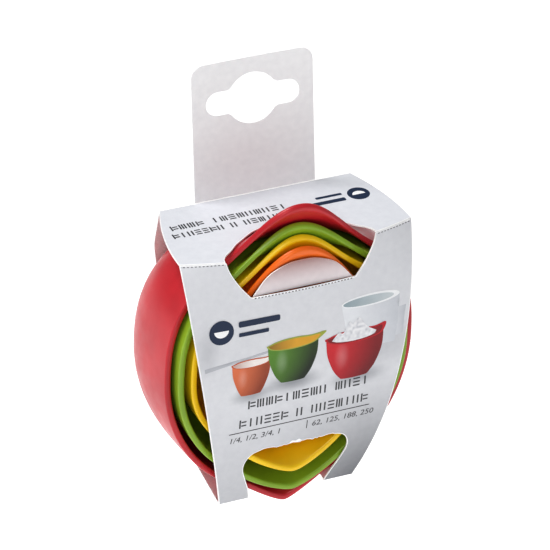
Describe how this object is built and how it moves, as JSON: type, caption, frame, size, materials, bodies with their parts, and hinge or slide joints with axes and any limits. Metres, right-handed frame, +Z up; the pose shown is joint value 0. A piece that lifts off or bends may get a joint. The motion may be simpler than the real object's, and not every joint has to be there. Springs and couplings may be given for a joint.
{
  "type": "measuring cup set",
  "caption": "Nested colourful measuring cups with handle lips and pouring spouts, held in a bowed white card sleeve with a peg-hook hang tab.",
  "frame": {"origin": "centre of the round hang hole, on the tab's mid-plane", "axes": "+X to the right seen from the front, +Y back towards the wall or peg board, +Z up along the hanging pack"},
  "size_m": [0.0948, 0.0557, 0.1561],
  "materials": {
    "red_plastic": "moulded gloss",
    "green_plastic": "moulded gloss",
    "yellow_plastic": "moulded gloss",
    "orange_plastic": "moulded gloss",
    "white_card": "coated board"
  },
  "bodies": {
    "sleeve": {"top_panel": "white_card", "bottom_panel": "white_card", "back_panel": "white_card", "glue_lap": "white_card"},
    "one_cup": {"one_cup": "red_plastic"},
    "three_quarter_cup": {"three_quarter_cup": "green_plastic"},
    "half_cup": {"half_cup": "yellow_plastic"},
    "quarter_cup": {"quarter_cup": "orange_plastic"},
    "front_panel": {"front_panel": "white_card"},
    "top_window_flap": {"top_window_flap": "white_card"},
    "hang_tab": {"hang_tab": "white_card"}
  },
  "joints": [
    {"name": "one_cup_tip", "type": "hinge", "parent": "sleeve", "child": "one_cup", "pos_m": [0, -0.03664, -0.13625], "axis": [1, 0, 0], "range_deg": [0, 90]},
    {"name": "three_quarter_cup_tip", "type": "hinge", "parent": "one_cup", "child": "three_quarter_cup", "pos_m": [0, -0.03664, -0.13625], "axis": [1, 0, 0], "range_deg": [0, 20]},
    {"name": "half_cup_tip", "type": "hinge", "parent": "three_quarter_cup", "child": "half_cup", "pos_m": [0, -0.03664, -0.13625], "axis": [1, 0, 0], "range_deg": [0, 20]},
    {"name": "quarter_cup_tip", "type": "hinge", "parent": "half_cup", "child": "quarter_cup", "pos_m": [0, -0.03664, -0.13625], "axis": [1, 0, 0], "range_deg": [0, 20]},
    {"name": "front_panel_open", "type": "hinge", "parent": "sleeve", "child": "front_panel", "pos_m": [0, -0.03664, -0.13625], "axis": [1, 0, 0], "range_deg": [0, 181]},
    {"name": "top_window_flap_fold", "type": "hinge", "parent": "front_panel", "child": "top_window_flap", "pos_m": [0, -0.04535, -0.04825], "axis": [-1, 0, 0], "range_deg": [-6, 2]},
    {"name": "hang_tab_fold", "type": "hinge", "parent": "sleeve", "child": "hang_tab", "pos_m": [0, -0.00415, -0.03425], "axis": [-1, 0, 0], "range_deg": [0, 140]}
  ],
  "couplings": [
    {"joint": "three_quarter_cup_tip", "follows": "one_cup_tip", "ratio": 0.22},
    {"joint": "half_cup_tip", "follows": "one_cup_tip", "ratio": 0.22},
    {"joint": "quarter_cup_tip", "follows": "one_cup_tip", "ratio": 0.22},
    {"joint": "front_panel_open", "follows": "one_cup_tip", "ratio": 2}
  ]
}
